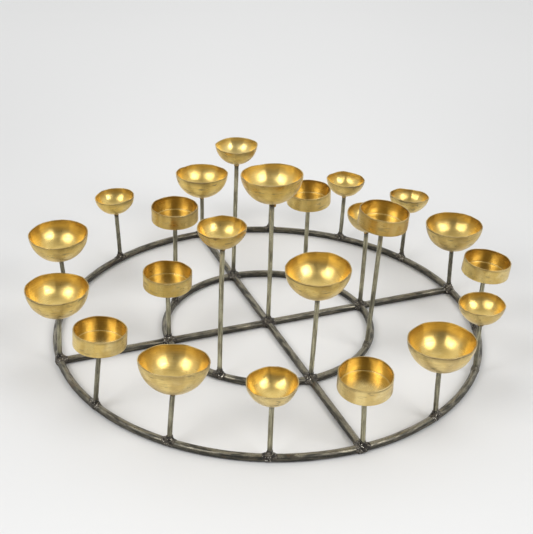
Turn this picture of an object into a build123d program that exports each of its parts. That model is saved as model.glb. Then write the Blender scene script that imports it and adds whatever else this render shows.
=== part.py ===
from build123d import *
import math
import os

os.makedirs("parts", exist_ok=True)

# ---------------------------------------------------------------------------
# Votive candle rack: a round steel-bar frame that lies on the table, with
# 24 upright stems that each carry one brass cup.  Millimetres, +Z up, the
# origin is the centre of the outer ring on the table plane.
# ---------------------------------------------------------------------------

# frame of round bar
RING_R = 187.0          # outer ring, centreline radius
INNER_R = 92.0          # inner ring, centreline radius
BAR_D = 6.4             # round bar of both rings and of the cross
BAR_A = (-67.1, 112.6)  # cross bar A, angle of its two ends on the outer ring
BAR_B = (-158.3, 22.7)  # cross bar B, angle of its two ends on the outer ring
BUTT_GAP = 0.05         # root gap of the butt joints, closed by the weld

# stems
STEM_D = 4.0

# brass cups (outside sizes)
WALL = 0.9
LARGE_D, LARGE_H = 52.6, 25.2    # large hammered bowl
SMALL_D, SMALL_H = 38.2, 17.6    # small hammered bowl
TEA_D, TEA_H = 41.2, 13.8        # straight-sided tealight cup
TEA_FLOOR_R = 1.6                # rounded lower edge of the tealight cup

# weld and braze metal
WELD_R, WELD_H = 3.8, 2.8        # weld collar at a stem's foot, above the bar
BRAZE_R, BRAZE_H = 4.6, 2.6      # braze collar under a cup
FRAME_WELD_R = 5.0               # weld in the corners where a bar meets the outer ring
CROSS_WELD_R = 6.3               # weld in the corners of a bar crossing
WELD_CLEAR = 0.02                # a weld solid stays this far off its bars

# One row per station: number, cup, where it stands ("outer", "inner",
# "centre", or a bar end / bar crossing), angle of the foot, centre of the
# cup's rim (x, y, z above the table), and the small lean of the cup (nx, ny).
STATIONS = [
    (1, "large", "outer", 171.8, -189.2, 26.7, 73.8, -0.022, -0.048),
    (2, "large", "outer", -158.9, -172.3, -67.4, 73.1, -0.004, 0.008),
    (3, "small", "outer", 142.6, -151.8, 114.3, 71.0, -0.061, 0.009),
    (4, "tea", "outer", -136.1, -127.4, -129.7, 75.0, 0.055, 0.044),
    (5, "tea", "inner", 159.8, -85.4, 31.8, 102.1, -0.002, -0.011),
    (6, "tea", "cross_b_left", 0.0, -85.9, -33.6, 72.3, 0.020, -0.002),
    (7, "large", "outer", 112.5, -71.3, 172.8, 72.1, 0.001, 0.043),
    (8, "small", "cross_a_back", 0.0, -33.6, 85.0, 139.7, -0.022, -0.012),
    (9, "small", "inner", -115.2, -38.2, -83.2, 141.4, -0.045, -0.016),
    (10, "large", "outer", -112.7, -67.3, -172.5, 78.3, 0.034, 0.138),
    (11, "large", "centre", 0.0, -0.8, 1.4, 148.8, -0.040, 0.042),
    (12, "tea", "inner", 68.3, 33.9, 85.5, 97.6, -0.030, -0.032),
    (13, "small", "outer", 67.1, 74.5, 172.3, 70.6, 0.025, -0.004),
    (14, "tea", "inner", -20.9, 91.5, -32.9, 135.0, 0.090, -0.005),
    (15, "small", "cross_b_right", 0.0, 85.8, 36.1, 99.5, 0.025, -0.040),
    (16, "small", "outer", 44.9, 134.5, 132.1, 73.4, 0.052, 0.085),
    (17, "large", "outer", 22.9, 169.8, 72.8, 72.3, -0.034, 0.007),
    (18, "tea", "outer", 1.0, 189.0, 3.3, 73.6, 0.078, 0.010),
    (19, "small", "outer", -20.2, 173.4, -64.6, 69.2, -0.030, 0.004),
    (20, "large", "outer", -44.5, 131.2, -131.1, 75.7, -0.024, 0.009),
    (21, "tea", "outer", -66.9, 71.2, -172.0, 70.9, -0.008, -0.072),
    (22, "small", "outer", -88.9, 3.7, -187.0, 71.7, -0.015, -0.032),
    (23, "large", "cross_a_front", 0.0, 37.2, -84.7, 108.4, -0.040, -0.025),
    (24, "tea", "outer", 90.2, -0.6, 187.0, 68.0, 0.0, 0.0),
]

BAR_R = BAR_D / 2
STEM_R = STEM_D / 2
AXIS_Z = BAR_R           # every frame bar has its centreline at this height


def on_circle(radius, deg):
    a = math.radians(deg)
    return (radius * math.cos(a), radius * math.sin(a))


def line_meet(p, q, r, s):
    """Point where line p-q meets line r-s in the plane."""
    d1 = (q[0] - p[0], q[1] - p[1])
    d2 = (s[0] - r[0], s[1] - r[1])
    den = d1[0] * d2[1] - d1[1] * d2[0]
    t = ((r[0] - p[0]) * d2[1] - (r[1] - p[1]) * d2[0]) / den
    return (p[0] + t * d1[0], p[1] + t * d1[1])


def on_line_at_radius(start, end, radius):
    """First point from start towards end that lies on the given circle."""
    dx, dy = end[0] - start[0], end[1] - start[1]
    n = math.hypot(dx, dy)
    dx, dy = dx / n, dy / n
    b = start[0] * dx + start[1] * dy
    c = start[0] ** 2 + start[1] ** 2 - radius ** 2
    t = -b + math.sqrt(b * b - c)
    return (start[0] + t * dx, start[1] + t * dy)


def rod(p, q, radius):
    """Round bar from point p to point q."""
    v = Vector(*q) - Vector(*p)
    return Solid.make_cylinder(radius, v.length, Plane(origin=p, z_dir=v))


def unit(nx, ny):
    n = math.sqrt(nx * nx + ny * ny + 1.0)
    return (nx / n, ny / n, 1.0 / n)


def cup_plane(pole, n):
    return Plane(origin=pole, x_dir=(n[2], 0, -n[0]), z_dir=n)


# --- frame lines -----------------------------------------------------------
A_FRONT, A_BACK = on_circle(RING_R, BAR_A[0]), on_circle(RING_R, BAR_A[1])
B_LEFT, B_RIGHT = on_circle(RING_R, BAR_B[0]), on_circle(RING_R, BAR_B[1])
HUB = line_meet(A_FRONT, A_BACK, B_LEFT, B_RIGHT)
CROSSINGS = {
    "cross_a_front": on_line_at_radius(HUB, A_FRONT, INNER_R),
    "cross_a_back": on_line_at_radius(HUB, A_BACK, INNER_R),
    "cross_b_left": on_line_at_radius(HUB, B_LEFT, INNER_R),
    "cross_b_right": on_line_at_radius(HUB, B_RIGHT, INNER_R),
}


def toward(p, q, dist):
    """Point at the given distance from p on the way to q."""
    dx, dy = q[0] - p[0], q[1] - p[1]
    n = math.hypot(dx, dy)
    return (p[0] + dx / n * dist, p[1] + dy / n * dist)


def z_at(p, z=AXIS_Z):
    return (p[0], p[1], z)


nodes = {}

# --- outer ring: one bar rolled to a circle and closed ----------------------
outer_ring = Pos(0, 0, AXIS_Z) * Torus(RING_R, BAR_R)
nodes["outer_ring"] = outer_ring

# --- cross bar A runs right across; bar B is two halves butted to it --------
END = BAR_R + 0.03 + BUTT_GAP
bar_a = rod(z_at(toward(A_FRONT, A_BACK, END)), z_at(toward(A_BACK, A_FRONT, END)), BAR_R)
bar_bl = rod(z_at(toward(B_LEFT, HUB, END)), z_at(toward(HUB, B_LEFT, END)), BAR_R)
bar_br = rod(z_at(toward(HUB, B_RIGHT, END)), z_at(toward(B_RIGHT, HUB, END)), BAR_R)
nodes["cross_bar_a"] = bar_a
nodes["cross_bar_b_left"] = bar_bl
nodes["cross_bar_b_right"] = bar_br


# --- inner ring: four arcs butted between the cross bars --------------------
def slot_box(p, q):
    """Box that clears a bar and its root gaps along the line p-q."""
    mid = ((p[0] + q[0]) / 2, (p[1] + q[1]) / 2)
    length = math.hypot(q[0] - p[0], q[1] - p[1]) + 20
    deg = math.degrees(math.atan2(q[1] - p[1], q[0] - p[0]))
    return Pos(mid[0], mid[1], AXIS_Z) * Rot(0, 0, deg) * Box(length, 2 * (BAR_R + BUTT_GAP), 20)


inner_full = Pos(0, 0, AXIS_Z) * Torus(INNER_R, BAR_R)
arcs = (inner_full - slot_box(A_FRONT, A_BACK) - slot_box(B_LEFT, B_RIGHT)).solids()


def arc_mid_angle(s):
    c = s.center()
    return math.degrees(math.atan2(c.Y, c.X)) % 360


arcs = sorted(arcs, key=arc_mid_angle)
# Seen from above, starting at +X and going round: the back-right arc first.
ARC_NAMES = ["inner_ring_back_right", "inner_ring_back_left",
             "inner_ring_front_left", "inner_ring_front_right"]


def arc_order(s):
    a = arc_mid_angle(s)
    for i, target in enumerate((67.5, 157.5, 247.5, 337.5)):
        if abs((a - target + 180) % 360 - 180) < 45:
            return i
    raise ValueError(a)


for s in arcs:
    nodes[ARC_NAMES[arc_order(s)]] = s



# --- cups ------------------------------------------------------------------
def bowl_profile(dia, height, wall):
    """Spherical bowl with its pole at the origin: outer body and shell."""
    a = dia / 2
    big = (a * a + height * height) / (2 * height)
    outer = Pos(0, 0, big) * Rot(90, 0, 0) * Sphere(big)
    inner = Pos(0, 0, big) * Rot(90, 0, 0) * Sphere(big - wall)
    cut = Pos(0, 0, height + 50) * Box(200, 200, 100)
    body = outer - cut
    return body.solids()[0], (body - inner).solids()[0]


def tea_profile(dia, height, wall, edge):
    """Straight cup with a rounded lower edge: outer body and shell."""
    body = Pos(0, 0, height / 2) * Cylinder(dia / 2, height)
    body = fillet(body.edges().sort_by(Axis.Z)[0], edge)
    inside = Pos(0, 0, wall + height / 2) * Cylinder(dia / 2 - wall, height)
    inside = fillet(inside.edges().sort_by(Axis.Z)[0], edge - wall)
    return body.solids()[0], (body - inside).solids()[0]


KINDS = {
    "large": (bowl_profile(LARGE_D, LARGE_H, WALL), LARGE_H, "large_bowl"),
    "small": (bowl_profile(SMALL_D, SMALL_H, WALL), SMALL_H, "small_bowl"),
    "tea": (tea_profile(TEA_D, TEA_H, WALL, TEA_FLOOR_R), TEA_H, "tealight_cup"),
}


def ellipsoid(rx, ry, rz):
    """Ellipsoid of revolution about Z (rx == ry) made by turning an arc."""
    arc = EllipticalCenterArc((0, 0), rx, rz, -90, arc_size=180)
    half = Plane.XZ * make_face([arc, Line((0, rz), (0, -rz))])
    return revolve(half, Axis.Z)


def foot_of(row):
    place, deg = row[2], row[3]
    if place == "outer":
        return on_circle(RING_R, deg)
    if place == "inner":
        return on_circle(INNER_R, deg)
    if place == "centre":
        return HUB
    return CROSSINGS[place]


def turned(points_and_arcs):
    """Solid turned about Z from edges drawn in the XZ plane."""
    return revolve(Plane.XZ * make_face(points_and_arcs), Axis.Z).solids()[0]


# Collar of weld metal round a stem's foot; its origin is on the bar's axis.
weld_shape = turned([
    Line((STEM_R, 1.6), (2.6, 1.6)),
    ThreePointArc((2.6, 1.6), (WELD_R, BAR_R + 0.5), (STEM_R, BAR_R + WELD_H)),
    Line((STEM_R, BAR_R + WELD_H), (STEM_R, 1.6))])
# Collar of braze metal round a stem's top; its origin is the cup's pole.
braze_shape = turned([
    ThreePointArc((STEM_R, -BRAZE_H), (2.75, -0.95), (BRAZE_R, 0.2)),
    Line((BRAZE_R, 0.2), (BRAZE_R, 1.8)),
    Line((BRAZE_R, 1.8), (STEM_R, 1.8)),
    Line((STEM_R, 1.8), (STEM_R, -BRAZE_H))])

# Through-going stand-ins for the bars, used only to trim the weld metal.
thick = BAR_R + WELD_CLEAR
trim_outer = Pos(0, 0, AXIS_Z) * Torus(RING_R, thick)
trim_inner = Pos(0, 0, AXIS_Z) * Torus(INNER_R, thick)
trim_a = rod(z_at(toward(A_FRONT, A_BACK, -1)), z_at(toward(A_BACK, A_FRONT, -1)), thick)
trim_b = rod(z_at(toward(B_LEFT, HUB, -1)), z_at(HUB), thick)
trim_c = rod(z_at(HUB), z_at(toward(B_RIGHT, HUB, -1)), thick)


def dist_to_line(p, a, b):
    dx, dy = b[0] - a[0], b[1] - a[1]
    n = math.hypot(dx, dy)
    t = ((p[0] - a[0]) * dx + (p[1] - a[1]) * dy) / (n * n)
    t = min(1.0, max(0.0, t))
    return math.hypot(p[0] - a[0] - t * dx, p[1] - a[1] - t * dy)


def trims_at(p, reach):
    found = []
    rad = math.hypot(p[0], p[1])
    if abs(rad - RING_R) < reach:
        found.append(trim_outer)
    if abs(rad - INNER_R) < reach:
        found.append(trim_inner)
    if dist_to_line(p, A_FRONT, A_BACK) < reach:
        found.append(trim_a)
    if dist_to_line(p, B_LEFT, HUB) < reach:
        found.append(trim_b)
    if dist_to_line(p, HUB, B_RIGHT) < reach:
        found.append(trim_c)
    return found


CARRIER = {"outer": outer_ring, "inner": inner_full, "centre": bar_a,
           "cross_a_front": bar_a, "cross_a_back": bar_a,
           "cross_b_left": bar_bl, "cross_b_right": bar_br}

stem_welds, braze_joints = [], []


def one(shape, label):
    found = sorted(shape.solids(), key=lambda s: -s.volume)
    if not found[0].is_valid:
        print("INVALID", label)
    if len(found) > 1:
        print("pieces", label, [round(s.volume, 3) for s in found])
    return found[0]


for row in STATIONS:
    num, kind, place, deg, cx, cy, cz, nx, ny = row
    (body0, shell0), depth, label = KINDS[kind]
    n = unit(nx, ny)
    pole = (cx - n[0] * depth, cy - n[1] * depth, cz - n[2] * depth)
    place_cup = cup_plane(pole, n).location
    body = place_cup * body0
    foot = foot_of(row)
    nodes["%s_%02d" % (label, num)] = place_cup * shell0

    # The stem is one straight rod from the bar to the pole of the cup, coped
    # over the bar at its foot and to the cup's bottom at its top.
    base = Vector(foot[0], foot[1], AXIS_Z)
    top = Vector(*pole)
    way = (top - base).normalized()
    stem = rod(tuple(base), tuple(top + way * 1.5), STEM_R) - body - CARRIER[place]
    nodes["stem_%02d" % num] = one(stem, "stem_%02d" % num)

    # weld collar at the foot
    weld = Plane(origin=tuple(base), z_dir=way).location * weld_shape
    for t in trims_at(foot, 7.0):
        weld = weld - t
    stem_welds.append(one(weld, "foot weld %d" % num))

    # braze collar at the cup
    braze = Plane(origin=tuple(top), z_dir=way).location * braze_shape
    braze_joints.append(one(braze - body, "braze %d" % num))

# --- welds in the corners of the frame's own joints --------------------------
frame_welds = []
tee_points = [toward(A_FRONT, A_BACK, BAR_R), toward(A_BACK, A_FRONT, BAR_R),
              toward(B_LEFT, HUB, BAR_R), toward(B_RIGHT, HUB, BAR_R)]
cross_points = [HUB] + list(CROSSINGS.values())
tee_weld = ellipsoid(FRAME_WELD_R, FRAME_WELD_R, BAR_R - 0.8)
cross_weld = ellipsoid(CROSS_WELD_R, CROSS_WELD_R, BAR_R - 0.8)
for p, blank in ([(p, tee_weld) for p in tee_points] +
                 [(p, cross_weld) for p in cross_points]):
    blob = Pos(p[0], p[1], AXIS_Z) * blank
    for t in trims_at(p, 7.0):
        blob = blob - t
    # A stem that stands at this joint keeps its own weld collar; the lump
    # stops short of it.
    for row in STATIONS:
        fx, fy = foot_of(row)[0], foot_of(row)[1]
        if math.hypot(fx - p[0], fy - p[1]) < WELD_R + CROSS_WELD_R:
            blob = blob - rod((fx, fy, -1.0), (fx, fy, AXIS_Z + BAR_R + WELD_H),
                              WELD_R + 0.1)
    kept = [s for s in blob.solids() if s.volume > 1.0]
    if not all(s.is_valid for s in kept):
        print("INVALID frame weld", p)
    frame_welds += kept

nodes["stem_foot_welds"] = Compound(children=list(stem_welds))
nodes["braze_joints"] = Compound(children=list(braze_joints))
nodes["frame_welds"] = Compound(children=list(frame_welds))

total = 0
for name, shape in nodes.items():
    export_step(shape, "parts/%s.step" % name)
    total += 1
print("nodes", total, "frame weld solids", len(frame_welds),
      [round(s.volume, 1) for s in frame_welds])
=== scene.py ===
import bpy
import math
import numpy as np
from mathutils import Matrix, Vector


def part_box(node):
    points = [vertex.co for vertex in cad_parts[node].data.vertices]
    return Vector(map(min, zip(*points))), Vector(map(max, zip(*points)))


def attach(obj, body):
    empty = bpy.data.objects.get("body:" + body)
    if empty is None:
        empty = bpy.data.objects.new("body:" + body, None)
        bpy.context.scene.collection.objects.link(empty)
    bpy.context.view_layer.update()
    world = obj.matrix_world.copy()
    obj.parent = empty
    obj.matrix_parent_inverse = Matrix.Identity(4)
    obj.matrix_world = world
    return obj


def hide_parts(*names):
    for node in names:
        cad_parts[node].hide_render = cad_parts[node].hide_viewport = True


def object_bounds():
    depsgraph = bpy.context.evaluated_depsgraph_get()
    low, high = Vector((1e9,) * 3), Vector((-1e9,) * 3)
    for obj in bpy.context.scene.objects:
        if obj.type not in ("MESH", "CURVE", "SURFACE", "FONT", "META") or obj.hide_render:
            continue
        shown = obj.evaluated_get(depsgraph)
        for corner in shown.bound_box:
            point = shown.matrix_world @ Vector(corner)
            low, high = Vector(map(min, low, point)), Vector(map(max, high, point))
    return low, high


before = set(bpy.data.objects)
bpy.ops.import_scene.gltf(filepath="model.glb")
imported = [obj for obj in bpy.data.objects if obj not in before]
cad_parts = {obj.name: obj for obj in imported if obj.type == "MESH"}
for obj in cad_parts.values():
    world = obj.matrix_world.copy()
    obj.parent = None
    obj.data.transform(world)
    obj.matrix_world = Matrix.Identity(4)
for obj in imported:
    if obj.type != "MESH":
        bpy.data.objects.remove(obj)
CAD_LO, CAD_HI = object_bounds()

MM = 0.001

# ---------------------------------------------------------------------------
# layout, in mm, origin at the centre of the outer ring on the table plane
# ---------------------------------------------------------------------------
RING_R, INNER_R, BAR_R, STEM_R = 187.0, 92.0, 3.2, 2.0
BAR_A, BAR_B = (-67.1, 112.6), (-158.3, 22.7)
WALL = 0.9
SIZES = {"large": (52.6, 25.2), "small": (38.2, 17.6), "tea": (41.2, 13.8)}
TEA_EDGE = 1.6
NODE = {"large": "large_bowl_%02d", "small": "small_bowl_%02d", "tea": "tealight_cup_%02d"}

STATIONS = [
    (1, "large", "outer", 171.8, -189.2, 26.7, 73.8, -0.022, -0.048),
    (2, "large", "outer", -158.9, -172.3, -67.4, 73.1, -0.004, 0.008),
    (3, "small", "outer", 142.6, -151.8, 114.3, 71.0, -0.061, 0.009),
    (4, "tea", "outer", -136.1, -127.4, -129.7, 75.0, 0.055, 0.044),
    (5, "tea", "inner", 159.8, -85.4, 31.8, 102.1, -0.002, -0.011),
    (6, "tea", "cross_b_left", 0.0, -85.9, -33.6, 72.3, 0.020, -0.002),
    (7, "large", "outer", 112.5, -71.3, 172.8, 72.1, 0.001, 0.043),
    (8, "small", "cross_a_back", 0.0, -33.6, 85.0, 139.7, -0.022, -0.012),
    (9, "small", "inner", -115.2, -38.2, -83.2, 141.4, -0.045, -0.016),
    (10, "large", "outer", -112.7, -67.3, -172.5, 78.3, 0.034, 0.138),
    (11, "large", "centre", 0.0, -0.8, 1.4, 148.8, -0.040, 0.042),
    (12, "tea", "inner", 68.3, 33.9, 85.5, 97.6, -0.030, -0.032),
    (13, "small", "outer", 67.1, 74.5, 172.3, 70.6, 0.025, -0.004),
    (14, "tea", "inner", -20.9, 91.5, -32.9, 135.0, 0.090, -0.005),
    (15, "small", "cross_b_right", 0.0, 85.8, 36.1, 99.5, 0.025, -0.040),
    (16, "small", "outer", 44.9, 134.5, 132.1, 73.4, 0.052, 0.085),
    (17, "large", "outer", 22.9, 169.8, 72.8, 72.3, -0.034, 0.007),
    (18, "tea", "outer", 1.0, 189.0, 3.3, 73.6, 0.078, 0.010),
    (19, "small", "outer", -20.2, 173.4, -64.6, 69.2, -0.030, 0.004),
    (20, "large", "outer", -44.5, 131.2, -131.1, 75.7, -0.024, 0.009),
    (21, "tea", "outer", -66.9, 71.2, -172.0, 70.9, -0.008, -0.072),
    (22, "small", "outer", -88.9, 3.7, -187.0, 71.7, -0.015, -0.032),
    (23, "large", "cross_a_front", 0.0, 37.2, -84.7, 108.4, -0.040, -0.025),
    (24, "tea", "outer", 90.2, -0.6, 187.0, 68.0, 0.0, 0.0),
]

# The layout's origin in the shared frame comes from the outer ring's own box.
_lo, _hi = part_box("outer_ring")
ORIGIN = np.array([(_lo.x + _hi.x) / 2, (_lo.y + _hi.y) / 2, _lo.z])


def V(*a):
    return np.array(a, float)


def on_circle(radius, deg):
    a = math.radians(deg)
    return V(radius * math.cos(a), radius * math.sin(a))


def line_meet(p, q, r, s):
    d1, d2 = q - p, s - r
    den = d1[0] * d2[1] - d1[1] * d2[0]
    t = ((r[0] - p[0]) * d2[1] - (r[1] - p[1]) * d2[0]) / den
    return p + t * d1


def on_line_at_radius(start, end, radius):
    d = (end - start) / np.linalg.norm(end - start)
    b = start @ d
    return start + d * (-b + math.sqrt(b * b - (start @ start - radius ** 2)))


A_FRONT, A_BACK = on_circle(RING_R, BAR_A[0]), on_circle(RING_R, BAR_A[1])
B_LEFT, B_RIGHT = on_circle(RING_R, BAR_B[0]), on_circle(RING_R, BAR_B[1])
HUB = line_meet(A_FRONT, A_BACK, B_LEFT, B_RIGHT)
CROSSINGS = {
    "cross_a_front": on_line_at_radius(HUB, A_FRONT, INNER_R),
    "cross_a_back": on_line_at_radius(HUB, A_BACK, INNER_R),
    "cross_b_left": on_line_at_radius(HUB, B_LEFT, INNER_R),
    "cross_b_right": on_line_at_radius(HUB, B_RIGHT, INNER_R),
}


def z_at(p, z=BAR_R):
    return V(p[0], p[1], z)


def foot_of(row):
    place, deg = row[2], row[3]
    if place == "outer":
        return on_circle(RING_R, deg)
    if place == "inner":
        return on_circle(INNER_R, deg)
    if place == "centre":
        return HUB
    return CROSSINGS[place]


def unit(v):
    v = np.asarray(v, float)
    return v / np.linalg.norm(v)


def facts(row):
    """foot, pole, cup axis of a station, in mm"""
    num, kind, place, deg, x, y, z, nx, ny = row
    n = unit((nx, ny, 1.0))
    rim = V(x, y, z)
    return z_at(foot_of(row)), rim - n * SIZES[kind][1], n


# ---------------------------------------------------------------------------
# smooth random fields, seeded
# ---------------------------------------------------------------------------
def waves(P, lam, seed, n=16):
    """Smooth random field over points P (N,3), about -1.5..1.5, wavelength lam."""
    rng = np.random.RandomState(seed)
    d = rng.normal(size=(n, 3))
    d /= np.linalg.norm(d, axis=1)[:, None]
    k = 2 * math.pi / (lam * rng.uniform(0.7, 1.5, n))
    ph = rng.uniform(0, 2 * math.pi, n)
    return np.sin(P @ (d * k[:, None]).T + ph).sum(1) / math.sqrt(n / 2.0) * 0.7


def harmonics(theta, seed, orders=(2, 3, 4, 5, 7, 9), fall=0.75):
    """Smooth random closed curve, about -1..1."""
    rng = np.random.RandomState(seed)
    out, norm = np.zeros_like(theta), 0.0
    for o in orders:
        a = rng.uniform(0.5, 1.0) * o ** -fall
        out += a * np.cos(o * theta + rng.uniform(0, 2 * math.pi))
        norm += a
    return out / (norm * 0.7)


def scallops(theta, seed, k):
    """0 at k uneven corners round the rim and up to 1 midway between them."""
    rng = np.random.RandomState(seed)
    c = (np.arange(k) + rng.uniform(-0.28, 0.28, k)) * 2 * math.pi / k + rng.uniform(0, 6.28)
    amp = rng.uniform(0.35, 1.0, k)
    out = np.zeros_like(theta)
    for i in range(k):
        a0 = c[i]
        a1 = c[(i + 1) % k] + (2 * math.pi if i == k - 1 else 0)
        u = ((theta - a0) % (2 * math.pi)) / (a1 - a0)
        out += np.where(u < 1, amp[i] * (1 - (2 * u - 1) ** 2), 0)
    return out


def smooth(a, b, x):
    t = np.clip((x - a) / (b - a), 0, 1)
    return t * t * (3 - 2 * t)


# ---------------------------------------------------------------------------
# meshes
# ---------------------------------------------------------------------------
def build(name, verts_mm, faces, mats, mat_index=None, attrs=None, matrix=None,
          local=False, soft=True):
    """A mesh object from points in mm. With local=True the points are in the
    piece's own frame, and matrix (in metres, layout frame) places it."""
    me = bpy.data.meshes.new(name)
    verts = np.asarray(verts_mm, float) * MM
    if not local:
        verts = verts + ORIGIN
    me.from_pydata(verts.tolist(), [], [tuple(int(i) for i in f) for f in faces])
    for m in mats:
        me.materials.append(m)
    if mat_index is not None:
        me.polygons.foreach_set("material_index", np.asarray(mat_index, np.int32))
    me.polygons.foreach_set("use_smooth", np.full(len(me.polygons), soft, bool))
    for key, val in (attrs or {}).items():
        val = np.asarray(val, np.float32)
        if val.ndim == 1:
            a = me.attributes.new(key, "FLOAT", "POINT")
            a.data.foreach_set("value", val)
        else:
            a = me.attributes.new(key, "FLOAT_VECTOR", "POINT")
            a.data.foreach_set("vector", val.reshape(-1))
    me.validate()
    me.update()
    ob = bpy.data.objects.new(name, me)
    bpy.context.scene.collection.objects.link(ob)
    if matrix is not None:
        ob.matrix_world = Matrix.Translation(Vector(ORIGIN)) @ matrix
    return ob


def tube(path, radius, segs, closed=False, tip=0.0):
    """Swept round bar. path (N,3) mm, radius scalar or (N,segs). Returns verts,
    faces, (angle, length) per vertex. Open tubes get end caps, drawn out to a point when tip is above 0."""
    path = np.asarray(path, float)
    n = len(path)
    if closed:
        tan = np.roll(path, -1, 0) - np.roll(path, 1, 0)
    else:
        tan = np.gradient(path, axis=0)
    tan /= np.linalg.norm(tan, axis=1)[:, None]
    up = V(0, 0, 1.0)
    if abs(tan[0] @ up) > 0.9:
        up = V(0, 1.0, 0)
    side = np.cross(up, tan)
    side /= np.linalg.norm(side, axis=1)[:, None]
    top = np.cross(tan, side)
    th = np.linspace(0, 2 * math.pi, segs, endpoint=False)
    rad = np.broadcast_to(np.asarray(radius, float), (n, segs)) if np.ndim(radius) == 2 \
        else np.broadcast_to(np.reshape(np.asarray(radius, float), (-1, 1)), (n, segs))
    pts = path[:, None, :] + rad[..., None] * (np.cos(th)[None, :, None] * side[:, None, :]
                                                + np.sin(th)[None, :, None] * top[:, None, :])
    step = np.linalg.norm(np.diff(path, axis=0), axis=1)
    s = np.concatenate([[0], np.cumsum(step)])
    verts = pts.reshape(-1, 3)
    ang = np.tile(th, n)
    length = np.repeat(s, segs)
    faces = []
    rows = n if closed else n - 1
    for i in range(rows):
        j = (i + 1) % n
        a, b = i * segs, j * segs
        for k in range(segs):
            l = (k + 1) % segs
            faces.append((a + k, a + l, b + l, b + k))
    if not closed:
        extra, ea, el = [], [], []
        for end, sgn in ((0, -1.0), (n - 1, 1.0)):
            base = end * segs
            centre = path[end] + tan[end] * sgn * tip
            c = len(verts) + len(extra)
            extra.append(centre)
            ea.append(0.0)
            el.append(s[end])
            for k in range(segs):
                l = (k + 1) % segs
                faces.append((base + l, base + k, c) if sgn < 0 else (base + k, base + l, c))
        verts = np.vstack([verts, np.array(extra)])
        ang = np.concatenate([ang, ea])
        length = np.concatenate([length, el])
    return verts, faces, ang, length


def rod_attr(ang, length):
    return np.stack([np.cos(ang), np.sin(ang), length * 0.1], 1)


def icosphere(level):
    t = (1 + 5 ** 0.5) / 2
    v = [(-1, t, 0), (1, t, 0), (-1, -t, 0), (1, -t, 0), (0, -1, t), (0, 1, t),
         (0, -1, -t), (0, 1, -t), (t, 0, -1), (t, 0, 1), (-t, 0, -1), (-t, 0, 1)]
    v = [unit(p) for p in v]
    f = [(0, 11, 5), (0, 5, 1), (0, 1, 7), (0, 7, 10), (0, 10, 11), (1, 5, 9), (5, 11, 4),
         (11, 10, 2), (10, 7, 6), (7, 1, 8), (3, 9, 4), (3, 4, 2), (3, 2, 6), (3, 6, 8),
         (3, 8, 9), (4, 9, 5), (2, 4, 11), (6, 2, 10), (8, 6, 7), (9, 8, 1)]
    for _ in range(level):
        mid, out = {}, []

        def half(a, b):
            key = (min(a, b), max(a, b))
            if key not in mid:
                mid[key] = len(v)
                v.append(unit(v[a] + v[b]))
            return mid[key]
        for a, b, c in f:
            ab, bc, ca = half(a, b), half(b, c), half(c, a)
            out += [(a, ab, ca), (b, bc, ab), (c, ca, bc), (ab, bc, ca)]
        f = out
    return np.array(v), np.array(f)


ICO_V, ICO_F = icosphere(4)
BEAD_V, BEAD_F = icosphere(2)


# signed distances, mm
def d_rod(P, a, b, r):
    ab = b - a
    t = np.clip(((P - a) @ ab) / (ab @ ab), 0, 1)
    return np.linalg.norm(P - a - t[:, None] * ab, axis=1) - r


def d_ring(P, R, r):
    q = np.hypot(P[:, 0], P[:, 1]) - R
    return np.hypot(q, P[:, 2] - BAR_R) - r


def smin(a, b, k):
    h = np.clip(0.5 + 0.5 * (b - a) / k, 0, 1)
    return b * (1 - h) + a * h - k * h * (1 - h)


def bars_near(p, reach):
    """Distance functions of the frame bars that pass within reach of p."""
    out = []
    rad = math.hypot(p[0], p[1])
    if abs(rad - RING_R) < reach:
        out.append(lambda P: d_ring(P, RING_R, BAR_R))
    if abs(rad - INNER_R) < reach:
        out.append(lambda P: d_ring(P, INNER_R, BAR_R))
    for a, b in ((A_FRONT, A_BACK), (B_LEFT, HUB), (HUB, B_RIGHT)):
        a3, b3 = z_at(a), z_at(b)
        if d_rod(np.array([[p[0], p[1], BAR_R]]), a3, b3, 0.0)[0] < reach:
            out.append(lambda P, a3=a3, b3=b3: d_rod(P, a3, b3, BAR_R))
    return out


def lump(centre, parts, k, reach, grow, noise_amp, noise_lam, seed, squash=(1, 1, 1),
         stop=None):
    """Weld metal round a joint: a star-shaped skin over the smooth union of the
    joint's parts, thickest at the joint and running out on the bars."""
    D = ICO_V * np.array(squash)
    L = np.linalg.norm(D, axis=1)
    D = D / L[:, None]
    R = reach * L
    N = len(D)
    r = np.full(N, 0.15)
    open_ = np.ones(N, bool)
    noise = waves(ICO_V * reach, noise_lam, seed) + 0.5 * waves(ICO_V * reach, noise_lam * 0.45,
                                                                seed + 7)
    R = R * (1 + 0.10 * waves(ICO_V * reach, reach * 1.3, seed + 3))
    for _ in range(90):
        step = R / 90.0
        nr = r + step
        P = centre + D * nr[:, None]
        d = parts[0](P)
        for f in parts[1:]:
            d = smin(d, f(P), k)
        fade = 1 - (nr / R) ** 2
        lift = grow * fade - 0.06 + noise_amp * noise * np.clip(fade * 1.6, 0, 1)
        hit = d > lift
        if stop is not None:
            hit |= stop(P)
        hit |= nr >= R
        open_ &= ~hit
        r = np.where(open_, nr, r)
        if not open_.any():
            break
    P = centre + D * r[:, None]
    return P, ICO_F, r / R


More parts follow.
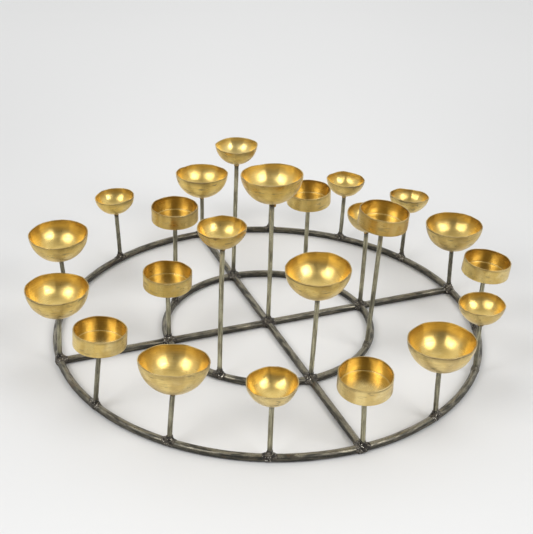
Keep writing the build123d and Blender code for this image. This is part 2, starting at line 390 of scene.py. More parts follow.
def beads(centre, parts, count, spread, seed, size=(0.22, 0.5)):
    """Small beads of spatter that sit half sunk in the bars."""
    rng = np.random.RandomState(seed)
    out = []
    tries = 0
    while len(out) < count and tries < 400:
        tries += 1
        d = unit(rng.normal(size=3))
        f = rng.uniform(spread[0], spread[1])
        p = centre + d * f
        dist = min(g(p[None])[0] for g in parts)
        if abs(dist) > 1.2:
            continue
        # walk to the surface
        for _ in range(12):
            g0 = min(g(p[None])[0] for g in parts)
            e = 0.05
            grad = V(*[min(g((p + e * ax)[None])[0] for g in parts) - g0 for ax in np.eye(3)])
            if np.linalg.norm(grad) < 1e-9:
                break
            p = p - unit(grad) * g0
        if p[2] < 0.6:
            continue
        out.append((p, rng.uniform(*size)))
    return out


def join(parts):
    """[(verts, faces, attrs dict)] -> one set"""
    vs, fs, at, off = [], [], {}, 0
    for v, f, a in parts:
        vs.append(v)
        fs += [tuple(int(i) + off for i in q) for q in f]
        for k2, val in a.items():
            at.setdefault(k2, []).append(val)
        off += len(v)
    return np.vstack(vs), fs, {k2: np.concatenate(x) for k2, x in at.items()}


# ---------------------------------------------------------------------------
# materials
# ---------------------------------------------------------------------------
class Nodes:
    def __init__(self, name):
        self.mat = bpy.data.materials.new(name)
        self.mat.use_nodes = True
        self.t = self.mat.node_tree
        self.t.nodes.clear()
        self.out = self.t.nodes.new("ShaderNodeOutputMaterial")
        self.bsdf = self.t.nodes.new("ShaderNodeBsdfPrincipled")
        self.link(self.bsdf.outputs[0], self.out.inputs[0])

    def link(self, a, b):
        self.t.links.new(a, b)

    def put(self, socket, val):
        if isinstance(val, bpy.types.NodeSocket):
            self.link(val, socket)
        elif val is not None:
            if hasattr(val, "__len__") and len(val) == 3 and socket.type == "RGBA":
                val = (*val, 1.0)
            socket.default_value = val

    def attr(self, name, vector=False):
        n = self.t.nodes.new("ShaderNodeAttribute")
        n.attribute_name = name
        return n.outputs["Vector" if vector else "Fac"]

    def obj(self):
        return self.t.nodes.new("ShaderNodeTexCoord").outputs["Object"]

    def scale(self, vec, s, shift=(0, 0, 0)):
        n = self.t.nodes.new("ShaderNodeMapping")
        self.put(n.inputs["Vector"], vec)
        n.inputs["Scale"].default_value = s if hasattr(s, "__len__") else (s, s, s)
        n.inputs["Location"].default_value = shift
        return n.outputs[0]

    def noise(self, vec, scale=1.0, detail=3.0, rough=0.55, distort=0.0):
        n = self.t.nodes.new("ShaderNodeTexNoise")
        self.put(n.inputs["Vector"], vec)
        n.inputs["Scale"].default_value = scale
        n.inputs["Detail"].default_value = detail
        n.inputs["Roughness"].default_value = rough
        n.inputs["Distortion"].default_value = distort
        return n.outputs[0]

    def voronoi(self, vec, scale=1.0, feature="F1"):
        n = self.t.nodes.new("ShaderNodeTexVoronoi")
        n.feature = feature
        self.put(n.inputs["Vector"], vec)
        n.inputs["Scale"].default_value = scale
        return n.outputs["Distance"]

    def ramp(self, val, a, b, lo=0.0, hi=1.0):
        n = self.t.nodes.new("ShaderNodeMapRange")
        n.interpolation_type = "SMOOTHSTEP"
        n.clamp = True
        self.put(n.inputs["Value"], val)
        n.inputs["From Min"].default_value = a
        n.inputs["From Max"].default_value = b
        n.inputs["To Min"].default_value = lo
        n.inputs["To Max"].default_value = hi
        return n.outputs[0]

    def math(self, op, a, b=None, c=None):
        n = self.t.nodes.new("ShaderNodeMath")
        n.operation = op
        for i, v in enumerate((a, b, c)):
            if v is not None:
                self.put(n.inputs[i], v)
        return n.outputs[0]

    def mix(self, fac, a, b, blend="MIX"):
        n = self.t.nodes.new("ShaderNodeMix")
        n.data_type = "RGBA"
        n.blend_type = blend
        self.put(n.inputs[0], fac)
        self.put(n.inputs[6], a)
        self.put(n.inputs[7], b)
        return n.outputs[2]

    def bump(self, height, distance, strength=1.0, normal=None):
        n = self.t.nodes.new("ShaderNodeBump")
        n.inputs["Strength"].default_value = strength
        n.inputs["Distance"].default_value = distance
        self.put(n.inputs["Height"], height)
        if normal is not None:
            self.put(n.inputs["Normal"], normal)
        return n.outputs[0]

    def set(self, **kw):
        for k2, v in kw.items():
            self.put(self.bsdf.inputs[k2.replace("_", " ")], v)

    def tangent(self):
        n = self.t.nodes.new("ShaderNodeTangent")
        n.direction_type = "RADIAL"
        n.axis = "Z"
        return n.outputs[0]


def mat_brass_in(name="brass_inside", light=(0.800, 0.600, 0.212), deep=(0.720, 0.512, 0.158),
                 rough=(0.288, 0.330), brushed=0.30, satin=0.06):
    m = Nodes(name)
    o = m.obj()
    lathe = m.attr("lathe", True)
    lines = m.noise(m.scale(lathe, (1.1, 1.1, 26.0)), 1.0, 5.0, 0.7)
    fine = m.noise(m.scale(lathe, (2.2, 2.2, 15.0), (4.0, 1.0, 7.0)), 1.0, 4.0, 0.65)
    broad = m.noise(m.scale(lathe, (1.6, 1.6, 5.0)), 1.0, 3.0, 0.55)
    cloud = m.noise(o, 75.0, 4.0, 0.6, 0.4)
    spots = m.noise(o, 420.0, 2.0, 0.5)
    edge = m.attr("edge")
    brim = m.attr("brim")
    base = m.mix(m.ramp(cloud, 0.38, 0.70), light, deep)
    base = m.mix(m.ramp(broad, 0.50, 0.78, 0.0, 0.35), base, (0.580, 0.385, 0.095))
    base = m.mix(m.ramp(lines, 0.50, 0.72, 0.0, 0.55), base, (0.450, 0.305, 0.080))
    base = m.mix(m.ramp(fine, 0.55, 0.68, 0.0, 0.45), base, (0.900, 0.740, 0.340))
    # painted shade: a darker band just inside the rim
    base = m.mix(m.math("MULTIPLY", brim, m.ramp(cloud, 0.30, 0.62, 0.50, 0.92)), base,
                 (0.350, 0.232, 0.078))
    base = m.mix(m.ramp(spots, 0.68, 0.76, 0.0, 0.5), base, (0.300, 0.180, 0.065))
    # painted shade: the rim edge is darkened, more in some patches
    base = m.mix(m.math("MULTIPLY", edge, m.ramp(cloud, 0.40, 0.60, 0.95, 0.45)), base,
                 (0.300, 0.200, 0.075))
    base = m.mix(m.attr("dim"), base, (0.360, 0.250, 0.090))
    base = m.mix(m.attr("lift"), base, (0.960, 0.830, 0.420))
    polish = m.math("ADD", m.ramp(cloud, 0.3, 0.75, *rough), m.ramp(lines, 0.35, 0.7, -0.03, 0.05))
    m.set(Base_Color=base, Metallic=1.0, Anisotropic=brushed, Tangent=m.tangent(),
          Roughness=m.math("ADD", polish, m.ramp(m.attr("up"), 0.40, 0.95, 0.0, satin)))
    n1 = m.bump(lines, 0.000022, 0.9)
    n2 = m.bump(m.noise(o, 260.0, 3.0, 0.6), 0.000030, 0.6, n1)
    m.set(Normal=n2)
    return m.mat


def mat_brass_out(name="brass_outside", marks=1.0, painted_reflection_bands=0.0):
    m = Nodes(name)
    o = m.obj()
    lathe = m.attr("lathe", True)
    pole = m.attr("pole")
    edge = m.attr("edge")
    lines = m.noise(m.scale(lathe, (1.3, 1.3, 34.0)), 1.0, 5.0, 0.72)
    smear = m.noise(m.scale(lathe, (2.0, 2.0, 3.2)), 1.0, 4.0, 0.6, 0.3)
    cloud = m.noise(o, 60.0, 4.0, 0.6, 0.5)
    tarnish = m.noise(o, 38.0, 4.0, 0.6, 0.7)
    base = m.mix(m.ramp(cloud, 0.40, 0.60), (0.855, 0.652, 0.240), (0.735, 0.525, 0.165))
    tone = m.attr("tone")
    base = m.mix(m.ramp(tarnish, 0.47, 0.66, 0.0, 0.52 * marks), base, (0.450, 0.300, 0.100))
    # lighter patches at random, partly tone and partly painted highlight for bright reflection spots
    pale = m.noise(m.scale(o, 50.0, (3.1, 1.7, 9.3)), 1.0, 3.0, 0.55, 0.3)
    base = m.mix(m.ramp(pale, 0.52, 0.70, 0.0, 0.5), base, (0.930, 0.800, 0.450))
    base = m.mix(tone, base, (0.380, 0.260, 0.100))
    base = m.mix(m.attr("chalk"), base, (0.930, 0.810, 0.520))
    base = m.mix(m.attr("gold"), base, (0.880, 0.590, 0.110))
    base = m.mix(m.ramp(lines, 0.48, 0.66, 0.0, 0.52 * marks), base, (0.440, 0.310, 0.105))
    base = m.mix(m.ramp(smear, 0.585, 0.70, 0.0, 0.78 * marks), base, (0.240, 0.195, 0.110))
    if painted_reflection_bands:
        # painted reflection and shade: vertical light and dark bands round the tealight outsides
        tall = m.noise(m.scale(lathe, (2.3, 2.3, 0.30), (2.0, 6.0, 1.0)), 1.0, 2.0, 0.5, 0.1)
        base = m.mix(m.ramp(tall, 0.44, 0.68, 0.0, painted_reflection_bands), base, (0.400, 0.270, 0.090))
        base = m.mix(m.ramp(tall, 0.48, 0.30, 0.0, painted_reflection_bands * 0.4), base, (0.940, 0.770, 0.400))
    heat = m.ramp(m.math("ADD", pole, m.ramp(cloud, 0.3, 0.7, -3.0, 3.0)), 10.0, 3.0)
    base = m.mix(m.math("MULTIPLY", heat, 0.8), base, (0.130, 0.090, 0.055))
    # painted shade: a darker band below the rim on the outside
    under = m.attr("brim")
    base = m.mix(m.math("MULTIPLY", under, m.ramp(cloud, 0.35, 0.6, 0.15, 0.70)), base,
                 (0.230, 0.170, 0.080))
    # painted shadow: a thin dark line just below the lip
    painted_lip_shadow = m.attr("shade")
    base = m.mix(m.math("MULTIPLY", painted_lip_shadow, 0.80), base, (0.060, 0.045, 0.026))
    # painted shade: the rim edge on the outside is darkened, more in some patches
    lip = m.mix(m.ramp(cloud, 0.46, 0.60), (0.300, 0.205, 0.078), (0.640, 0.490, 0.220))
    base = m.mix(m.math("MULTIPLY", edge, 0.8), base, lip)
    m.set(Base_Color=base, Metallic=1.0, Anisotropic=0.35, Tangent=m.tangent(),
          Roughness=m.math("ADD", m.ramp(smear, 0.35, 0.75, 0.27, 0.44),
                           m.ramp(lines, 0.35, 0.7, -0.03, 0.06)))
    n1 = m.bump(lines, 0.00005 * marks, 0.9)
    n2 = m.bump(m.noise(o, 240.0, 3.0, 0.6), 0.00012 * marks, 0.6, n1)
    m.set(Normal=n2)
    return m.mat


def mat_bar():
    m = Nodes("bar_steel_dark")
    rod = m.attr("rod", True)
    o = m.obj()
    heat = m.attr("heat")
    streak = m.noise(m.scale(rod, (1.5, 1.5, 0.7)), 1.0, 5.0, 0.65, 0.2)
    fine = m.noise(m.scale(rod, (6.0, 6.0, 1.6)), 1.0, 4.0, 0.7)
    grain = m.noise(o, 900.0, 3.0, 0.6)
    rust = m.noise(o, 55.0, 4.0, 0.6, 0.6)
    split = m.t.nodes.new("ShaderNodeSeparateXYZ")
    m.link(rod, split.inputs[0])
    top = m.math("ADD", split.outputs[1], m.ramp(streak, 0.3, 0.7, -0.35, 0.35))
    base = m.mix(m.ramp(streak, 0.36, 0.64), (0.062, 0.060, 0.052), (0.170, 0.154, 0.118))
    # painted shade: the lower half of each bar is darkened
    base = m.mix(m.ramp(top, 0.55, -0.35, 0.0, 0.70), base, (0.034, 0.034, 0.031))
    # painted highlight: a lighter streak along the top of each bar
    base = m.mix(m.ramp(top, 0.62, 1.05, 0.0, 0.55), base, (0.340, 0.315, 0.245))
    base = m.mix(m.ramp(fine, 0.52, 0.72, 0.0, 0.7), base, (0.045, 0.046, 0.042))
    base = m.mix(m.ramp(rust, 0.60, 0.76, 0.0, 0.45), base, (0.200, 0.135, 0.080))
    base = m.mix(m.ramp(grain, 0.66, 0.76, 0.0, 0.6), base, (0.420, 0.390, 0.320))
    base = m.mix(m.math("MULTIPLY", heat, 0.80), base, (0.040, 0.039, 0.037))
    m.set(Base_Color=base, Metallic=0.90, Specular_IOR_Level=0.5,
          Roughness=m.math("ADD", m.ramp(streak, 0.3, 0.7, 0.40, 0.27),
                           m.ramp(grain, 0.3, 0.7, -0.04, 0.10)))
    n1 = m.bump(fine, 0.00012, 0.8)
    n2 = m.bump(grain, 0.00010, 0.7, n1)
    m.set(Normal=n2)
    return m.mat


def mat_stem():
    m = Nodes("stem_steel")
    rod = m.attr("rod", True)
    o = m.obj()
    heat = m.attr("heat")
    streak = m.noise(m.scale(rod, (1.7, 1.7, 0.55)), 1.0, 5.0, 0.65, 0.15)
    fine = m.noise(m.scale(rod, (7.0, 7.0, 1.0)), 1.0, 4.0, 0.7)
    grain = m.noise(o, 1100.0, 3.0, 0.6)
    cloud = m.noise(o, 70.0, 3.0, 0.6)
    base = m.mix(m.ramp(streak, 0.35, 0.66), (0.180, 0.165, 0.110), (0.560, 0.530, 0.370))
    base = m.mix(m.ramp(cloud, 0.50, 0.72, 0.0, 0.5), base, (0.170, 0.140, 0.090))
    base = m.mix(m.ramp(fine, 0.56, 0.74, 0.0, 0.6), base, (0.130, 0.110, 0.075))
    base = m.mix(m.ramp(grain, 0.68, 0.78, 0.0, 0.5), base, (0.620, 0.580, 0.450))
    soot = m.attr("soot")
    h = m.ramp(m.math("ADD", heat, m.ramp(cloud, 0.3, 0.7, -0.25, 0.25)), 0.25, 0.8)
    spot = m.noise(m.scale(rod, (2.4, 2.4, 2.0), (5, 3, 2)), 1.0, 4.0, 0.65, 0.4)
    base = m.mix(m.math("MULTIPLY", soot, m.ramp(spot, 0.34, 0.60, 1.0, 0.55)), base,
                 (0.055, 0.052, 0.048))
    base = m.mix(m.math("MULTIPLY", h, 0.92), base, (0.048, 0.040, 0.034))
    m.set(Base_Color=base, Metallic=0.92, Specular_IOR_Level=0.5,
          Roughness=m.math("ADD", m.ramp(streak, 0.3, 0.7, 0.36, 0.24),
                           m.math("MULTIPLY", h, 0.14)))
    n1 = m.bump(fine, 0.00008, 0.8)
    n2 = m.bump(grain, 0.00006, 0.6, n1)
    m.set(Normal=n2)
    return m.mat


def mat_weld():
    m = Nodes("weld_metal")
    o = m.obj()
    run = m.attr("run")
    ripple = m.noise(o, 700.0, 4.0, 0.65, 0.8)
    scale_ = m.noise(o, 300.0, 4.0, 0.6, 0.5)
    glint = m.noise(o, 820.0, 2.0, 0.5)
    base = m.mix(m.ramp(scale_, 0.40, 0.66), (0.034, 0.031, 0.029), (0.165, 0.145, 0.118))
    base = m.mix(m.ramp(ripple, 0.58, 0.74, 0.0, 0.8), base, (0.030, 0.027, 0.025))
    base = m.mix(m.ramp(glint, 0.60, 0.68), base, (0.720, 0.690, 0.600))
    base = m.mix(m.ramp(run, 0.70, 1.0, 0.0, 0.5), base, (0.060, 0.052, 0.045))
    base = m.mix(m.math("MULTIPLY", m.attr("neat"), 0.75), base, (0.150, 0.138, 0.106))
    m.set(Base_Color=base, Metallic=0.85,
          Roughness=m.ramp(glint, 0.45, 0.68, 0.46, 0.18))
    n1 = m.bump(scale_, 0.0007, 0.9)
    n2 = m.bump(ripple, 0.00030, 0.8, n1)
    m.set(Normal=n2)
    return m.mat


def mat_braze():
    m = Nodes("braze_metal")
    o = m.obj()
    run = m.attr("run")
    cloud = m.noise(o, 330.0, 4.0, 0.6, 0.7)
    fine = m.noise(o, 900.0, 3.0, 0.6, 0.3)
    base = m.mix(m.ramp(cloud, 0.40, 0.62), (0.640, 0.440, 0.170), (0.360, 0.230, 0.090))
    base = m.mix(m.ramp(m.math("ADD", run, m.ramp(cloud, 0.3, 0.7, -0.2, 0.2)), 0.45, 0.85),
                 base, (0.070, 0.050, 0.035))
    base = m.mix(m.ramp(fine, 0.60, 0.74, 0.0, 0.7), base, (0.045, 0.034, 0.027))
    m.set(Base_Color=base, Metallic=0.95, Roughness=m.ramp(cloud, 0.3, 0.7, 0.28, 0.46))
    n1 = m.bump(cloud, 0.0004, 0.7)
    n2 = m.bump(fine, 0.00015, 0.7, n1)
    m.set(Normal=n2)
    return m.mat


BRASS_IN, BRASS_OUT = mat_brass_in(), mat_brass_out()
BRASS_TEA = mat_brass_in("brass_tealight_inside", (0.695, 0.528, 0.215), (0.600, 0.436, 0.150),
                         (0.28, 0.33), 0.35, 0.0)
BRASS_TEA_OUT = mat_brass_out("brass_tealight_outside", 0.62, 0.42)
BAR, STEM, WELD, BRAZE = mat_bar(), mat_stem(), mat_weld(), mat_braze()


# ---------------------------------------------------------------------------
# frame of round bar
# ---------------------------------------------------------------------------
NEAT = (14, 19)                      # feet whose welds were dressed and left clean
WELD_SPOTS = [z_at(foot_of(r)) for r in STATIONS if r[0] not in NEAT] + [z_at(p) for p in
              [HUB, A_FRONT, A_BACK, B_LEFT, B_RIGHT] + list(CROSSINGS.values())]
SPOTS = np.array(WELD_SPOTS)


def weld_heat(P, near=5.0, far=13.0):
    d = np.full(len(P), 1e9)
    for s in SPOTS:
        d = np.minimum(d, np.linalg.norm(P - s, axis=1))
    return 1 - smooth(near, far, d)


def bar_skin(path, segs, closed, seed):
    v, f, ang, length = tube(path, BAR_R, segs, closed=closed)
    # drawn bar is not quite true: slight hollows and mill marks
    dent = 0.035 * waves(v, 14.0, seed) + 0.02 * waves(v, 4.0, seed + 1) - 0.06
    c = np.zeros_like(v)
    n = len(path)
    c[:n * segs] = np.repeat(path, segs, 0)
    if not closed:
        c[n * segs:] = v[n * segs:]
    out = v - c
    L = np.linalg.norm(out, axis=1)
    L[L < 1e-6] = 1
    v = v + out / L[:, None] * dent[:, None] * (np.linalg.norm(out, axis=1) > 0.1)[:, None]
    v[:, 2] = np.maximum(v[:, 2], 0.0)
    return v, f, {"rod": rod_attr(ang, length), "heat": weld_heat(v)}


def finish_piece(ob, node):
    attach(ob, "root")
    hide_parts(node)
    return ob


def arc(radius, a0, a1, step=1.2):
    n = max(8, int(abs(math.radians(a1 - a0)) * radius / step))
    a = np.radians(np.linspace(a0, a1, n))
    return np.stack([radius * np.cos(a), radius * np.sin(a), np.full(n, BAR_R)], 1)


def line(p, q, step=1.5):
    n = max(6, int(np.linalg.norm(q - p) / step))
    return p + (q - p) * np.linspace(0, 1, n)[:, None]


ring_path = arc(RING_R, BAR_A[0], BAR_A[0] + 360.0)[:-1]
v, f, at = bar_skin(ring_path, 28, True, 11)
v[:, 2] = np.maximum(v[:, 2], 0.0)
finish_piece(build("ring_outer", v, f, [BAR], attrs=at), "outer_ring")

for name, p, q, seed in (("cross_bar_a", A_FRONT, A_BACK, 21), ("cross_bar_b_left", B_LEFT, HUB, 22),
                         ("cross_bar_b_right", HUB, B_RIGHT, 23)):
    p3, q3 = z_at(p), z_at(q)
    v, f, at = bar_skin(line(p3, q3), 28, False, seed)
    finish_piece(build("bar_" + name[6:], v, f, [BAR], attrs=at), name)

ANG = {k2: math.degrees(math.atan2(c[1], c[0])) for k2, c in CROSSINGS.items()}
QUARTERS = (
    ("inner_ring_back_right", ANG["cross_b_right"], ANG["cross_a_back"], 31),
    ("inner_ring_back_left", ANG["cross_a_back"], ANG["cross_b_left"] + 360.0, 32),
    ("inner_ring_front_left", ANG["cross_b_left"], ANG["cross_a_front"], 33),
    ("inner_ring_front_right", ANG["cross_a_front"], ANG["cross_b_right"], 34),
)
for name, a0, a1, seed in QUARTERS:
    v, f, at = bar_skin(arc(INNER_R, a0, a1), 28, False, seed)
    finish_piece(build("arc_" + name[11:], v, f, [BAR], attrs=at), name)


# ---------------------------------------------------------------------------
# stems
# ---------------------------------------------------------------------------
# How dark each stem was left by the torch: all over, then the reach of the
# dark from its foot and from its top in mm, and the darkness of those reaches.
SOOT = {1: (0.35, 14, 26, 0.7), 2: (0.10, 9, 12, 0.9), 3: (0.30, 34, 5, 0.95),
        4: (0.80, 12, 6, 0.9), 5: (0.05, 12, 26, 0.75), 6: (0.05, 16, 7, 0.8),
        7: (0.25, 10, 17, 0.6), 8: (0.05, 16, 7, 0.8), 9: (0.0, 9, 6, 0.8),
        10: (0.50, 9, 10, 0.6), 11: (0.0, 10, 7, 0.9), 12: (0.05, 12, 7, 0.7),
        13: (0.10, 24, 13, 0.75), 14: (0.10, 62, 14, 0.55), 15: (0.05, 14, 7, 0.8),
        16: (0.55, 30, 8, 0.9), 17: (0.92, 14, 8, 1.0), 18: (0.35, 10, 12, 0.7),
        19: (0.10, 24, 9, 0.7), 20: (0.55, 12, 9, 0.7), 21: (0.05, 9, 6, 0.6),
        22: (0.0, 11, 6, 0.7), 23: (0.0, 11, 7, 0.9), 24: (0.0, 11, 6, 0.6)}

for row in STATIONS:
    num, kind = row[0], row[1]
    foot, pole, n = facts(row)
    way = unit(pole - foot)
    L = np.linalg.norm(pole - foot)
    path = line(foot + way * 0.5, pole + way * 0.25, 1.0)
    rng = np.random.RandomState(400 + num)
    s = np.linspace(0, 1, len(path))
    # a stem that was cut, straightened and set by hand is a little off line
    side = unit(np.cross(way, V(rng.normal(), rng.normal(), 0.1)))
    path = path + side * (np.sin(math.pi * s) * rng.uniform(-0.35, 0.35))[:, None]
    v, f, ang, length = tube(path, STEM_R, 24, tip=0.0)
    c = np.vstack([np.repeat(path, 24, 0), v[len(path) * 24:]])
    out = v - c
    ok = np.linalg.norm(out, axis=1) > 0.1
    dent = 0.03 * waves(v, 9.0, 500 + num) + 0.02 * waves(v, 3.0, 600 + num) - 0.03
    v = v + np.where(ok[:, None], out / STEM_R * dent[:, None], 0)
    top = L - length
    heat = np.maximum(1 - smooth(2.0, 6.5, top), 1 - smooth(4.0, 9.0, length))
    allover, low, high, deep = SOOT[num]
    soot = np.maximum(allover, deep * np.maximum(1 - smooth(low * 0.7, low * 1.25, length),
                                                 1 - smooth(high * 0.7, high * 1.25, top)))
    finish_piece(build("stem_rod_%02d" % num, v, f, [STEM],
                       attrs={"rod": rod_attr(ang, length + 37.0 * num), "heat": heat,
                              "soot": soot}),
                 "stem_%02d" % num)


# ---------------------------------------------------------------------------
# cups
# ---------------------------------------------------------------------------
def cup_matrix(pole, n):
    x = unit(np.cross(V(0, 1.0, 0), n))
    y = np.cross(n, x)
    return Matrix(((x[0], y[0], n[0], pole[0] * MM), (x[1], y[1], n[1], pole[1] * MM),
                   (x[2], y[2], n[2], pole[2] * MM), (0, 0, 0, 1)))


def bowl_profile(dia, h):
    """(r, z, side) of a spun or dished bowl. side 0 outside, 1 inside."""
    a = dia / 2
    big = (a * a + h * h) / (2 * h)
    lip = 0.28
    pr = []
    end = math.acos((big - h) / big)
    ph = np.linspace(0, end - lip / big, 58)
    for p in ph:
        pr.append((big * math.sin(p), big * (1 - math.cos(p)), 0))
    ri = big - WALL
    endi = math.acos((big - h) / ri)
    ao, ai = a, ri * math.sin(endi)
    for t in (22, 45, 68):
        pr.append((ao - lip * (1 - math.cos(math.radians(t))), h - lip * (1 - math.sin(math.radians(t))), 0))
    pr.append((ao - lip, h, 0))
    pr.append(((ao + ai) / 2, h, 0))
    pr.append((ai + lip, h, 1))
    for t in (68, 45, 22):
        pr.append((ai + lip * (1 - math.cos(math.radians(t))), h - lip * (1 - math.sin(math.radians(t))), 1))
    for p in np.linspace(endi - lip / ri, 0, 56):
        pr.append((ri * math.sin(p), big - ri * math.cos(p), 1))
    return pr


def tea_profile(dia, h):
    a, ai = dia / 2, dia / 2 - WALL
    e, lip, fi = TEA_EDGE, 0.26, 0.75
    pr = [(r, 0.0, 0) for r in np.linspace(0, a - e, 15)]
    for t in np.linspace(0, 90, 9)[1:]:
        t = math.radians(t)
        pr.append((a - e + e * math.sin(t), e - e * math.cos(t), 0))
    for z in np.linspace(e, h - lip, 14)[1:]:
        pr.append((a, z, 0))
    for t in (30, 60, 90):
        t = math.radians(t)
        pr.append((a - lip * (1 - math.cos(t)), h - lip * (1 - math.sin(t)), 0))
    pr.append(((a + ai) / 2, h, 0))
    for t in (90, 60, 30, 0):
        t = math.radians(t)
        pr.append((ai + lip * (1 - math.cos(t)), h - lip * (1 - math.sin(t)), 1))
    for z in np.linspace(h - lip, WALL + fi, 14)[1:]:
        pr.append((ai, z, 1))
    for t in np.linspace(0, 90, 8)[1:]:
        t = math.radians(t)
        pr.append((ai - fi + fi * math.cos(t), WALL + fi - fi * math.sin(t), 1))
    for r in np.linspace(ai - fi, 0, 15)[1:]:
        pr.append((r, WALL, 1))
    return pr


# cups whose brass has gone darker than the others
TONE = {1: 0.12, 2: 0.05, 5: 0.37, 6: 0.08, 8: 0.22, 9: 0.45, 10: 0.08, 11: 0.08, 12: 0.15, 13:
        0.16, 14: 0.74, 15: 0.28, 17: 0.22, 19: 0.12}
# cups whose outside is more chalky, or more golden, than the others
CHALK = {20: 0.20, 21: 0.18, 22: 0.28, 15: 0.12, 10: 0.08, 17: 0.0, 19: 0.06}
GOLD = {3: 0.42, 5: 0.20, 6: 0.30, 7: 0.32, 8: 0.28, 9: 0.24, 11: 0.34, 14: 0.26, 12: 0.16, 1: 0.15,
        23: 0.10, 2: 0.14, 13: 0.12}
# cups whose inside is dimmer or brighter
DIM = {16: 0.30, 10: 0.20, 17: 0.22, 20: 0.12, 18: 0.12, 4: 0.12, 21: 0.10, 5: 0.10, 12: 0.10,
       19: 0.12, 15: 0.15}
LIFT = {8: 0.26, 14: 0.06, 11: 0.08, 23: 0.05}


